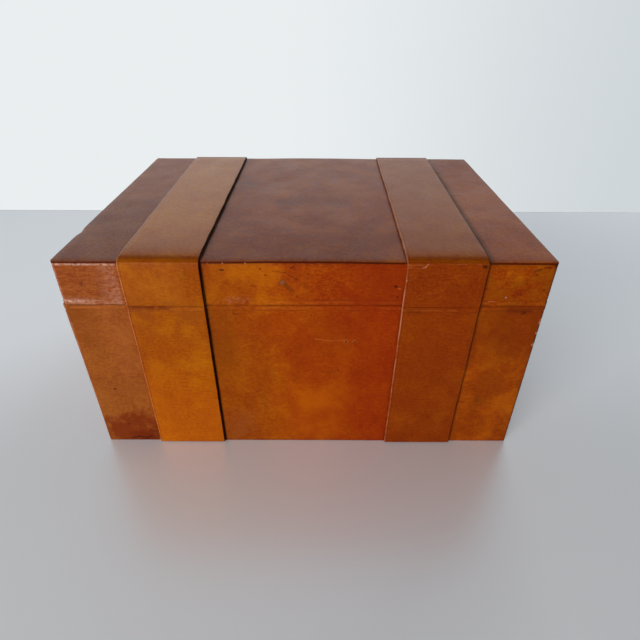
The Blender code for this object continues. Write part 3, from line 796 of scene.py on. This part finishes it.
lid_hide.spot(92.2, -75, 94.6, 0.8, NEARLY_BLACK, 0.5)
lid_hide.spot(96.8, -75, 87.7, 0.8, NEARLY_BLACK, 0.6)
lid_hide.spot(87.8, -75, 85.3, 0.7, NEARLY_BLACK, 0.5)
lid_hide.spot(82.2, -75, 84.1, 1.0, DARK_RED, 0.5)
lid_hide.spot(82.2, -75, 84.1, 0.6, (0.42, 0.18, 0.11), 0.75)
lid_hide.scratch((75.4, 82.2), (78.2, 82.2), 0.35, (0.42, 0.13, 0.05), 0.4)
lid_hide.spot(99.8, -75, 98.8, 2.0, NEARLY_BLACK, 0.9)
lid_hide.stain(NEARLY_BLACK, 0.8 * lid_hide.x.rise(99 * MM, 99.7 * MM) * lid_hide.y.rise(-73 * MM, -74 * MM))
lid_hide.stain(DARK_RED, 0.8 * lid_hide.x.rise(-99.4 * MM, -99.8 * MM) * lid_hide.y.rise(-73 * MM, -74 * MM))
nudge(lid_skin, lambda co: (0, 0, CROWN * smooth(38 * MM, 10 * MM, abs(co.x)) * smooth(96 * MM, 98.5 * MM, co.z)))
fit(lid_skin, lid_hide.hide(0.05, 0.5), "lid", "leather", "lid_side_leather")


# Top leather of the lid.
# A separate flat skin glued on last, over the upper edge of the side leather. It is darker from
# handling, and its cut edge is burnished to a dark reddish line.

top_low, top_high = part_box("lid_top_leather")
top_low.z += 0.25 * MM
top_skin = add("lid_top_skin", "cube", (top_low + top_high) / 2, top_high - top_low)
pick("EDGE", lambda edge: runs(edge, 2, 0.5 * MM))
bpy.ops.mesh.bevel(offset=1.3 * MM, segments=4, affect="EDGES")
pick("EDGE", lambda edge: all(v.co.z > top_high.z - 1e-5 for v in edge.verts))
bpy.ops.mesh.bevel(offset=0.45 * MM, segments=4, affect="EDGES")
divide(0, 3 * MM)
divide(1, 3 * MM)
leave(top_skin)
modify(top_skin, "DISPLACE", texture=unevenness(24 * MM), strength=0.25 * MM, mid_level=0.5)
nudge(top_skin, lambda co: (0, 0, CROWN * smooth(38 * MM, 10 * MM, abs(co.x))))


def notched(co):
    """A shallow worn notch in the left edge."""
    return (0.9 * MM * smooth(-92 * MM, -99 * MM, co.x) * smooth(5 * MM, 0, abs(co.y + 46.4 * MM)), 0, 0)


nudge(top_skin, notched)

top_hide = Hide("lid_top_hide")
top_hide.ground((0.218, 0.039, 0.0), (0.268, 0.053, 0.001), (0.300, 0.066, 0.001))
top_hide.stain((0.30, 0.060, 0.001), 0.7 * top_hide.x.rise(58 * MM, 80 * MM))
top_hide.stain((0.155, 0.045, 0.012), 0.6 * top_hide.x.rise(-60 * MM, -75 * MM) * top_hide.y.rise(50 * MM, -40 * MM))
far_right = top_hide.x.rise(58 * MM, 72 * MM)
top_hide.stain((0.18, 0.026, 0.0), 0.5 * far_right * top_hide.y.rise(15 * MM, 60 * MM))
top_hide.stain((0.36, 0.085, 0.002), 0.35 * far_right * top_hide.y.near(-5 * MM, 36 * MM))
top_hide.stain((0.12, 0.018, 0.0), 0.5 * top_hide.y.rise(-20 * MM, -68 * MM) * top_hide.x.rise(-48 * MM, -34 * MM)
               * top_hide.x.rise(44 * MM, 20 * MM) * top_hide.cloud.rise(-0.6, 0.7))
top_hide.grain(0.9 + 0.7 * top_hide.y.rise(40 * MM, -40 * MM))
in_edge = top_hide.z - CROWN * abs(top_hide.x).rise(38 * MM, 10 * MM)
edge_of_top = in_edge.rise(top_high.z - 0.05 * MM, top_high.z - 0.3 * MM)
top_hide.stain((0.045, 0.004, 0.0), 0.94 * edge_of_top)
for x, y, reach in ((-28.9, 18.2, 16), (14.4, -12.8, 13), (-6.8, -7.3, 12), (-46, 28.8, 14)):
    top_hide.spot(x, y, 100, reach, (0.10, 0.020, 0.012), 0.42, 0.02)
for x, y in ((-3.3, 29.3), (7.3, -41.1), (-0.7, -60.4)):
    top_hide.spot(x, y, 100, 1.1, NEARLY_BLACK, 0.6)
for x in (-38.1, -32.2, -23.5, 1.2):
    top_hide.spot(x, -75, 99, 0.55, (0.46, 0.17, 0.08), 0.75)
# On the top: a thin dark red line along each strap's left edge, a near-black painted shadow beside its right edge,
# and a wider soft painted shadow right of the right strap.
for side in ("left", "right"):
    from_left = strap_place(top_hide, side, top_hide.y + 175 * MM)
    top_hide.stain(DARK_RED, 0.7 * from_left.near(-0.35 * MM, 0.6 * MM))
    from_right = from_left - STRAP_WIDTH
    top_hide.stain(NEARLY_BLACK, 0.8 * from_right.rise(1.0 * MM, 0.4 * MM) * from_right.rise(-2 * MM, -1 * MM))
shaded = from_right.rise(4.2 * MM, 0.8 * MM) * from_right.rise(-2 * MM, -1 * MM) * top_hide.y.rise(72 * MM, 40 * MM)
top_hide.stain((0.05, 0.014, 0.002), 0.6 * shaded)
top_wax = {"Coat Weight": (0.46 - 0.10 * far_right * top_hide.y.rise(-30 * MM, 60 * MM)) * (1 - edge_of_top)
           * (1 - 0.5 * shaded),
           "Coat Roughness": 0.27}
fit(top_skin, top_hide.hide(0.05, 0.45, top_wax), "lid", "leather", "lid_top_leather")


# Straps of the lid.
# Each is one strip of the strap hide, from the front rim of the lid up, over the top and down
# the back to the rim again. It bends softly over the edges and lines up with the body's straps.

BEND = 1.7 * MM
LEVEL = 100.1 * MM


def eased(co):
    """The strap starts to curve down a little before the edges of the lid."""
    down = smooth(67 * MM, 74.5 * MM, abs(co.y)) if co.z > 99 * MM else 0
    return (0, 0, -0.45 * MM * down)


def lid_strap(name, side, node):
    left = STRAPS[side][0]
    foot, shoulder = LID_FOOT, LEVEL - BEND
    piece = add(name, "grid", (left + STRAP_WIDTH / 2, -FACE, (foot + shoulder) / 2),
                (STRAP_WIDTH, shoulder - foot, 1), (math.radians(90), 0, 0),
                x_subdivisions=12, y_subdivisions=7)
    pick("EDGE", lambda edge: all(v.co.z > shoulder - 1e-5 for v in edge.verts))
    bpy.ops.mesh.spin(steps=6, angle=math.radians(90), center=(0, -FACE + BEND, shoulder), axis=(1, 0, 0))
    bpy.ops.mesh.extrude_region_move(TRANSFORM_OT_translate={"value": (0, 2 * (FACE - BEND), 0)})
    bpy.ops.mesh.spin(steps=6, angle=math.radians(90), center=(0, FACE - BEND, shoulder), axis=(1, 0, 0))
    bpy.ops.mesh.extrude_region_move(TRANSFORM_OT_translate={"value": (0, 0, foot - shoulder)})
    divide(1, 3 * MM)
    pick("EDGE", lambda edge: runs(edge, 2, 6 * MM))
    bpy.ops.mesh.subdivide(number_cuts=6)
    bpy.ops.mesh.select_all(action="SELECT")
    bpy.ops.mesh.remove_doubles(threshold=1e-6)
    leave(piece)
    nudge(piece, eased)
    cut_strap(piece, side)
    fit(piece, strap_hide, "lid", "strap_leather", node)


lid_strap("lid_strap_over_left", "left", "lid_strap_left")
lid_strap("lid_strap_over_right", "right", "lid_strap_right")


# Floor, wall, light and camera.
# A pale table with a faint gloss, a white wall close behind it, one soft window-like lamp low at
# the front left, and weak light from all round. None of it is part of the box.

def stage_plane(name, centre, size, turn, material):
    piece = leave(add(name, "plane", centre, (*size, 1), turn))
    piece.data.materials.append(material)
    return piece


table = Finish("table_top")
table_matt = table.node("ShaderNodeBsdfDiffuse", values={"Color": (0.80, 0.80, 0.82, 1)})
table_gloss = table.node("ShaderNodeBsdfGlossy", values={"Color": (0.80, 0.89, 0.95, 1), "Roughness": 0.3})
table.close(table.node("ShaderNodeMixShader", values={0: 0.32, 1: table_matt, 2: table_gloss}))
stage_plane("table", (0, 0.2, -0.0002), (4.0, 3.6), (0, 0, 0), table.material)

wall = Finish("wall_paint")
# The wall glows: white to the camera and at least half strength to other rays, so it lights the box. Its colour
# darkens to the right as painted shade.
shade_of_wall = wall.mixed((0.82, 0.855, 0.87), (0.62, 0.665, 0.685), wall.x.rise(-0.06, 0.36))
by_camera = wall.node("ShaderNodeLightPath", out="Is Camera Ray")
by_gloss = wall.node("ShaderNodeLightPath", out="Is Glossy Ray")
brightness = by_camera.most(by_gloss * (0.25 + 0.8 * wall.z.rise(0.42, 0.18))).most(0.5)
white = wall.node("ShaderNodeEmission", values={"Color": wall.dimmed(shade_of_wall, brightness)})
clear = wall.node("ShaderNodeBsdfTransparent")
behind = wall.node("ShaderNodeNewGeometry", out="Backfacing")
wall.close(wall.node("ShaderNodeMixShader", values={0: behind, 1: white, 2: clear}))
backdrop = stage_plane("wall", (0, 0.246, 0.75), (4.0, 1.5), (math.radians(90), 0, 0), wall.material)
backdrop.visible_shadow = False

world = bpy.data.worlds.new("room")
world.use_nodes = True
world.node_tree.nodes["Background"].inputs["Color"].default_value = (0.93, 0.97, 1.0, 1)
world.node_tree.nodes["Background"].inputs["Strength"].default_value = 0.22
bpy.context.scene.world = world


def lamp(name, place, target, size, power, colour):
    light = bpy.data.lights.new(name, "AREA")
    light.shape, light.size, light.size_y = "RECTANGLE", *size
    light.energy, light.color = power, colour
    holder = bpy.data.objects.new(name, light)
    bpy.context.scene.collection.objects.link(holder)
    holder.location = place
    holder.rotation_mode = "QUATERNION"
    holder.rotation_quaternion = (Vector(target) - Vector(place)).to_track_quat("-Z", "Y")
    return holder


lamp("window", (-0.57, -0.88, 0.33), (0, -0.05, 0.05), (0.6, 0.5), 11, (1.0, 0.98, 0.95))
rear = lamp("rear", (0.45, 0.85, 0.35), (0, 0.05, 0.05), (0.6, 0.5), 5, (1.0, 1.0, 1.0))
rear.visible_glossy = False

PITCH, YAW, ROLL = 0.58287, 0.00206, 0.00471
LENS_PIXELS = 478.5
forward = Vector((math.sin(YAW) * math.cos(PITCH), math.cos(YAW) * math.cos(PITCH), -math.sin(PITCH)))
level = Vector((math.cos(YAW), -math.sin(YAW), 0))
upright = level.cross(forward)
right = math.cos(ROLL) * level + math.sin(ROLL) * upright
above = math.cos(ROLL) * upright - math.sin(ROLL) * level
eye = bpy.data.objects.new("camera", bpy.data.cameras.new("camera"))
eye.data.sensor_width = 36
eye.data.lens = 36 * LENS_PIXELS / 640
eye.data.clip_start = 0.01
placed = Matrix((right, above, -forward)).transposed().to_4x4()
placed.translation = Vector((5.72, -243.62, 183.95)) * MM
eye.matrix_world = placed
bpy.context.scene.collection.objects.link(eye)
bpy.context.scene.camera = eye
bpy.context.scene.view_settings.view_transform = "Standard"
